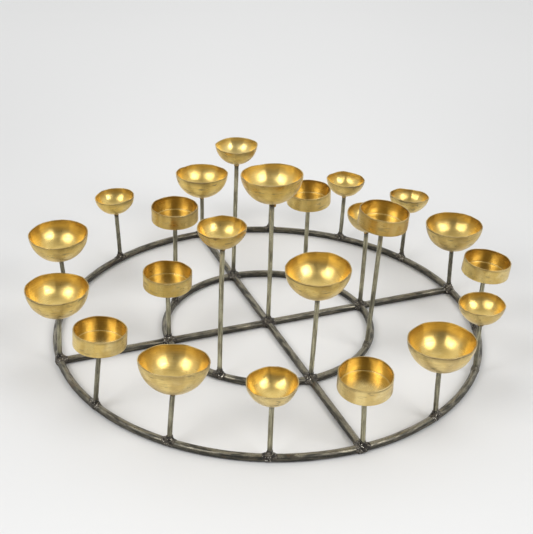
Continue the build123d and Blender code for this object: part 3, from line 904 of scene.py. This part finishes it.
def make_cup(row, segs=160):
    num, kind = row[0], row[1]
    foot, pole, n = facts(row)
    dia, h = SIZES[kind]
    pr = tea_profile(dia, h) if kind == "tea" else bowl_profile(dia, h)
    r = np.array([p[0] for p in pr])
    z = np.array([p[1] for p in pr])
    side = np.array([p[2] for p in pr])
    s = np.concatenate([[0], np.cumsum(np.hypot(np.diff(r), np.diff(z)))])
    th = np.linspace(0, 2 * math.pi, segs, endpoint=False)
    k = len(pr)
    R, T = np.meshgrid(r[1:-1], th, indexing="ij")
    Z = np.repeat(z[1:-1][:, None], segs, 1)
    X, Y = R * np.cos(T), R * np.sin(T)
    P = np.stack([X, Y, Z], -1).reshape(-1, 3)
    tt = T.reshape(-1)
    # the wall moves as one sheet: find how far up the cup each point is
    up = np.clip(P[:, 2] / h, 0, 1)
    rad = np.hypot(P[:, 0], P[:, 1])
    seed = 900 + 17 * num
    if kind == "tea":
        centre = np.stack([np.zeros(len(P)), np.zeros(len(P)), P[:, 2]], 1)
        wide, tall, dents, lam = 0.45, 0.40, 0.045, 8.0
    else:
        a = dia / 2
        big = (a * a + h * h) / (2 * h)
        centre = np.array([[0, 0, big]]) + 0 * P
        wide, tall, dents, lam = (0.75, 0.80, 0.035, 12.0) if kind == "large" else (0.75, 0.95, 0.035, 10.0)
    away = P - centre
    away /= np.maximum(np.linalg.norm(away, axis=1), 1e-6)[:, None]
    mid = centre + away * np.where(True, 1, 1)  # direction only, shared by both shells
    # use the same field for the inside and the outside skin
    if kind == "tea":
        key = np.stack([np.cos(tt) * dia / 2, np.sin(tt) * dia / 2, P[:, 2]], 1)
    else:
        key = away * (dia / 2)
    field = waves(key, lam, seed) + 0.45 * waves(key, lam * 0.5, seed + 1)
    grow_in = smooth(0.12, 0.75, up) if kind != "tea" else smooth(0.22, 0.8, up)
    ring = harmonics(tt, seed + 2)
    rim = harmonics(tt, seed + 3, (2, 3, 4, 6, 8))
    corners = {"large": 9, "small": 7, "tea": 8}[kind] + num % 2
    flats = scallops(tt, seed + 4, corners)
    dips = scallops(tt + 0.3, seed + 6, corners - 1)
    sag = {"large": 0.40, "small": 0.52, "tea": 0.28}[kind]
    dr = (wide * 0.5 * ring + sag * (0.45 - flats)) * grow_in ** 1.5
    dz = (tall * 0.45 * rim + sag * 0.9 * (0.35 - dips)) * up ** 3
    hollow = dents * field - dents * 0.6
    if kind == "tea":
        wall = smooth(2.2, 5.5, P[:, 2])
        floor = 1 - smooth(dia / 2 - 8.0, dia / 2 - 3.2, rad)
        swell = 0.06 * (1 + waves(np.stack([P[:, 0], P[:, 1], 0 * P[:, 0]], 1), 15.0, seed + 5))
        P[:, 0] += np.cos(tt) * (dr + hollow * wall)
        P[:, 1] += np.sin(tt) * (dr + hollow * wall)
        P[:, 2] += dz + np.maximum(swell, 0) * floor * (P[:, 2] < 1.2)
    else:
        quiet = smooth(2.0, 9.0, rad)
        P += away * (hollow * quiet)[:, None]
        P[:, 0] += np.cos(tt) * dr
        P[:, 1] += np.sin(tt) * dr
        P[:, 2] += dz
    # no part of a cup leaves the frame's own box
    pm = cup_matrix(pole, n)
    turn = np.array([[pm[i][j] for j in range(3)] for i in range(3)])
    Wp = P @ turn.T + pole + ORIGIN / MM
    Wp = np.clip(Wp, np.array(CAD_LO) / MM, np.array(CAD_HI) / MM)
    P = (Wp - pole - ORIGIN / MM) @ turn
    verts = np.vstack([P, [[0, 0, z[0]]], [[0, 0, z[-1]]]])
    bottom, top = len(P), len(P) + 1
    faces, mi = [], []
    for i in range(k - 3):
        a0, b0 = i * segs, (i + 1) * segs
        inside = 1 if (side[i + 1] and side[i + 2]) else 0
        for j in range(segs):
            l = (j + 1) % segs
            faces.append((a0 + j, a0 + l, b0 + l, b0 + j))
            mi.append(inside)
    for j in range(segs):
        l = (j + 1) % segs
        faces.append((bottom, l, j))
        mi.append(0)
        last = (k - 3) * segs
        faces.append((top, last + j, last + l))
        mi.append(1)
    S = np.repeat(s[1:-1][:, None], segs, 1).reshape(-1)
    lathe = np.stack([np.cos(tt) + num * 3.7, np.sin(tt) + num * 1.3, S * 0.1 + num * 5.1], 1)
    lathe = np.vstack([lathe, [[num * 3.7, num * 1.3, num * 5.1]],
                       [[num * 3.7, num * 1.3, s[-1] * 0.1 + num * 5.1]]])
    pole_d = np.concatenate([S, [0.0, s[-1]]])
    d_rim = np.abs(h - verts[:, 2])
    # edge: the rim edge, which the brass materials darken as painted shade
    edge = 1 - smooth(0.25, 0.75, d_rim)
    edge = np.clip(edge * (0.75 + 0.35 * np.concatenate([harmonics(tt, seed + 9), [0, 0]])), 0, 1)
    reach = 6.0 if kind != "tea" else 3.0
    # brim: a band below the rim that the brass materials darken as painted shade, inside and out
    brim = (1 - smooth(0.3, reach, d_rim)) * np.concatenate(
        [np.clip(0.65 + 0.5 * harmonics(tt, seed + 11, (1, 2, 3, 5, 8)), 0, 1), [0, 0]])
    # shade: a thin line just below the lip for a painted shadow on the outside
    shade = smooth(0.35, 0.55, d_rim) * (1 - smooth(0.85, 1.35, d_rim)) * np.concatenate(
        [smooth(-0.05, 0.50, harmonics(tt, seed + 12, (1, 2, 4, 7, 11))), [0, 0]])
    ob = build("cup_%s_%02d" % (kind, num), verts, faces,
               [BRASS_TEA_OUT, BRASS_TEA] if kind == "tea" else [BRASS_OUT, BRASS_IN], mi,
               {"lathe": lathe, "pole": pole_d, "edge": edge, "brim": brim, "shade": shade,
                "up": np.clip(verts[:, 2] / h, 0, 1),
                "tone": np.full(len(verts), TONE.get(num, 0.0)),
                "chalk": np.full(len(verts), CHALK.get(num, 0.0)),
                "gold": np.full(len(verts), GOLD.get(num, 0.0)),
                "dim": np.full(len(verts), DIM.get(num, 0.0)),
                "lift": np.full(len(verts), LIFT.get(num, 0.0))},
               cup_matrix(pole, n), local=True)
    finish_piece(ob, NODE[kind] % num)
    return ob


for row in STATIONS:
    make_cup(row)


# ---------------------------------------------------------------------------
# weld metal at the feet and in the frame's own joints
# ---------------------------------------------------------------------------
parts = []
for row in STATIONS:
    num = row[0]
    foot, pole, n = facts(row)
    way = unit(pole - foot)
    near = bars_near(foot, 7.0)
    stem = lambda P, a=foot, b=pole: d_rod(P, a, b, STEM_R)
    base = foot + V(0, 0, BAR_R - 0.6)
    neat = num in NEAT
    v, f, run = lump(base, [stem] + near, 2.2, 5.0 if neat else 6.3, 0.95,
                     0.12 if neat else 0.30, 2.4, 2000 + num, squash=(1, 1, 0.9))
    v[:, 2] = np.maximum(v[:, 2], 0.05)
    parts.append((v, f, {"run": run, "neat": np.full(len(v), float(neat))}))
    for p, size in beads(base, [stem] + near, 1 if neat else 5, (4.2, 8.5), 3000 + num):
        parts.append((p + BEAD_V * size, BEAD_F, {"run": np.full(len(BEAD_V), 0.2),
                                                  "neat": np.full(len(BEAD_V), float(neat))}))
v, f, at = join(parts)
finish_piece(build("welds_stem_feet", v, f, [WELD], attrs=at), "stem_foot_welds")

parts = []
spots = [(p, 6.6) for p in (A_FRONT, A_BACK, B_LEFT, B_RIGHT)] + \
        [(p, 6.8) for p in [HUB] + list(CROSSINGS.values())]
for i, (p, reach) in enumerate(spots):
    c = z_at(p)
    near = bars_near(p, 7.0)
    v, f, run = lump(c, near, 3.0, reach + 0.8, 0.70, 0.26, 2.6, 4000 + i, squash=(1, 1, 0.75))
    v[:, 2] = np.maximum(v[:, 2], 0.05)
    parts.append((v, f, {"run": run, "neat": np.zeros(len(v))}))
    for q, size in beads(c, near, 6, (5.0, 10.0), 4100 + i):
        parts.append((q + BEAD_V * size, BEAD_F, {"run": np.full(len(BEAD_V), 0.2),
                                                  "neat": np.zeros(len(BEAD_V))}))
v, f, at = join(parts)
finish_piece(build("welds_frame", v, f, [WELD], attrs=at), "frame_welds")

# ---------------------------------------------------------------------------
# brazed joints under the cups
# ---------------------------------------------------------------------------
DROPS = {11: (((2.2, -1.3, -2.3), (1.15, 1.05, 1.75)),),
         19: (((2.0, -1.4, -1.9), (1.0, 1.0, 1.5)),),
         2: (((-1.9, -1.2, -1.9), (0.8, 0.8, 1.2)),),
         14: (((1.8, -1.5, -1.6), (0.8, 0.8, 1.2)),)}
parts = []
for row in STATIONS:
    num, kind = row[0], row[1]
    foot, pole, n = facts(row)
    dia, h = SIZES[kind]
    stem = lambda P, a=foot, b=pole: d_rod(P, a, b, STEM_R)
    if kind == "tea":
        cup = lambda P, c=pole, ax=n: -((P - c) @ ax)
    else:
        a = dia / 2
        big = (a * a + h * h) / (2 * h)
        cup = lambda P, c=pole + n * big, g=big: np.linalg.norm(P - c, axis=1) - g
    way = unit(pole - foot)
    v, f, run = lump(pole - way * 0.7, [stem, cup], 1.3, 4.3, 0.60, 0.16, 2.4, 5000 + num,
                     squash=(1, 1, 0.75), stop=lambda P, cup=cup: cup(P) < -0.42)
    parts.append((v, f, {"run": run}))
    # run-off drops of brass on some of the joints
    for at_, size in DROPS.get(num, ()):
        c = pole + V(*at_)
        parts.append((c + BEAD_V * V(*size), BEAD_F, {"run": np.full(len(BEAD_V), -0.4)}))
v, f, at = join(parts)
finish_piece(build("brazes_under_cups", v, f, [BRAZE], attrs=at), "braze_joints")


# ---------------------------------------------------------------------------
# floor, light, camera
# ---------------------------------------------------------------------------
def floor_plane(near=6.0, far_off=400.0):
    me = bpy.data.meshes.new("floor")
    z = ORIGIN[2]
    lines = (-far_off, -near, near, far_off)
    me.from_pydata([(x, y, z) for y in lines for x in lines], [],
                   [(r * 4 + c, r * 4 + c + 1, r * 4 + c + 5, r * 4 + c + 4)
                    for r in range(3) for c in range(3)])
    ob = bpy.data.objects.new("floor", me)
    bpy.context.scene.collection.objects.link(ob)
    m = Nodes("floor_white")
    o = m.obj()
    far = m.t.nodes.new("ShaderNodeSeparateXYZ")
    m.link(o, far.inputs[0])
    # painted light and shade: the floor colour is graded against the fall of the lamps' light, darker near
    # the camera and at the sides, lighter towards the back
    tone = m.math("ADD", m.ramp(far.outputs[1], -0.4, 1.4, 0.30, 0.93),
                  m.math("MULTIPLY", m.noise(o, 3.0, 2.0, 0.5), 0.05))
    wide = m.ramp(m.math("ABSOLUTE", far.outputs[0]), 0.05, 0.50, 0.0, 0.42)
    wide = m.math("MULTIPLY", wide, m.ramp(far.outputs[1], 0.10, 0.90, 1.0, 0.35))
    tone = m.math("SUBTRACT", tone, wide)
    ring = m.t.nodes.new("ShaderNodeVectorMath")
    ring.operation = "LENGTH"
    m.link(o, ring.inputs[0])
    # painted light: lighter inside the ring, where the frame and cups shade the floor
    tone = m.math("ADD", tone, m.ramp(ring.outputs["Value"], 0.09, 0.24, 0.17, 0.0))
    # painted light: lighter again far off
    tone = m.math("ADD", tone, m.ramp(ring.outputs["Value"], 1.40, 2.60, 0.0, 0.6))
    m.set(Base_Color=m.mix(tone, (0.660, 0.661, 0.662), (0.940, 0.941, 0.942)),
          Roughness=0.75, Specular_IOR_Level=0.15)
    me.materials.append(m.mat)
    return ob


floor_plane()


def area(name, where, size, strength, target=(0, 0, 0.06), colour=(1, 1, 1)):
    li = bpy.data.lights.new(name, "AREA")
    li.shape = "RECTANGLE"
    li.size, li.size_y = size
    li.energy = strength
    li.color = colour
    ob = bpy.data.objects.new(name, li)
    bpy.context.scene.collection.objects.link(ob)
    w = Vector(where)
    ob.location = w
    ob.rotation_mode = "QUATERNION"
    ob.rotation_quaternion = (Vector(target) - w).to_track_quat("-Z", "Y")
    return ob


area("soft_right", (1.162, -0.982, 1.138), (0.92, 0.92), 15.0)
area("soft_left", (-1.067, -0.978, 1.231), (0.92, 0.92), 15.0)

world = bpy.data.worlds.new("studio")
bpy.context.scene.world = world
world.use_nodes = True
wt = world.node_tree
wt.nodes.clear()
wo = wt.nodes.new("ShaderNodeOutputWorld")
bg = wt.nodes.new("ShaderNodeBackground")
co = wt.nodes.new("ShaderNodeTexCoord")
sep = wt.nodes.new("ShaderNodeSeparateXYZ")
wt.links.new(co.outputs["Generated"], sep.inputs[0])


def wramp(src, a, b, lo, hi):
    nd = wt.nodes.new("ShaderNodeMapRange")
    nd.interpolation_type = "SMOOTHSTEP"
    nd.clamp = True
    wt.links.new(src, nd.inputs["Value"])
    for key, val in (("From Min", a), ("From Max", b), ("To Min", lo), ("To Max", hi)):
        nd.inputs[key].default_value = val
    return nd.outputs[0]


back = wramp(sep.outputs["Y"], -0.70, 0.28, 0.07, 1.05)
flank = wt.nodes.new("ShaderNodeMath")
flank.operation = "ABSOLUTE"
wt.links.new(sep.outputs["X"], flank.inputs[0])
flank = wramp(flank.outputs[0], 0.60, 0.98, 1.0, 0.82)
both = wt.nodes.new("ShaderNodeMath")
both.operation = "MULTIPLY"
wt.links.new(back, both.inputs[0])
wt.links.new(flank, both.inputs[1])
# a thin pale cove where the floor meets the wall, all the way round
level = wt.nodes.new("ShaderNodeMath")
level.operation = "ABSOLUTE"
wt.links.new(sep.outputs["Z"], level.inputs[0])
cove = wramp(level.outputs[0], 0.012, 0.022, 0.52, 0.0)
total = wt.nodes.new("ShaderNodeMath")
total.operation = "MAXIMUM"
wt.links.new(both.outputs[0], total.inputs[0])
wt.links.new(cove, total.inputs[1])
wt.links.new(total.outputs[0], bg.inputs["Strength"])
bg.inputs["Color"].default_value = (0.992, 0.995, 0.990, 1)
wt.links.new(bg.outputs[0], wo.inputs[0])

cam_data = bpy.data.cameras.new("camera")
cam = bpy.data.objects.new("camera", cam_data)
bpy.context.scene.collection.objects.link(cam)
cam_data.sensor_fit = "AUTO"
cam_data.sensor_width = 36.0
cam_data.lens = 1034.652 * 36.0 / 534.0
cam_data.clip_start, cam_data.clip_end = 0.01, 1000.0
pitch, roll = 0.50513, 0.0305741
fwd = V(0, math.cos(pitch), -math.sin(pitch))
right = V(1.0, 0, 0)
upv = np.cross(right, fwd)
cx = math.cos(roll) * right + math.sin(roll) * upv
cy = -math.sin(roll) * right + math.cos(roll) * upv
cz = -fwd
pos = V(-3.014, -789.70, 497.93) * MM + ORIGIN
cam.matrix_world = Matrix(((cx[0], cy[0], cz[0], pos[0]), (cx[1], cy[1], cz[1], pos[1]),
                           (cx[2], cy[2], cz[2], pos[2]), (0, 0, 0, 1)))
bpy.context.scene.camera = cam

bpy.context.scene.view_settings.view_transform = "Standard"
bpy.context.scene.view_settings.look = "None"
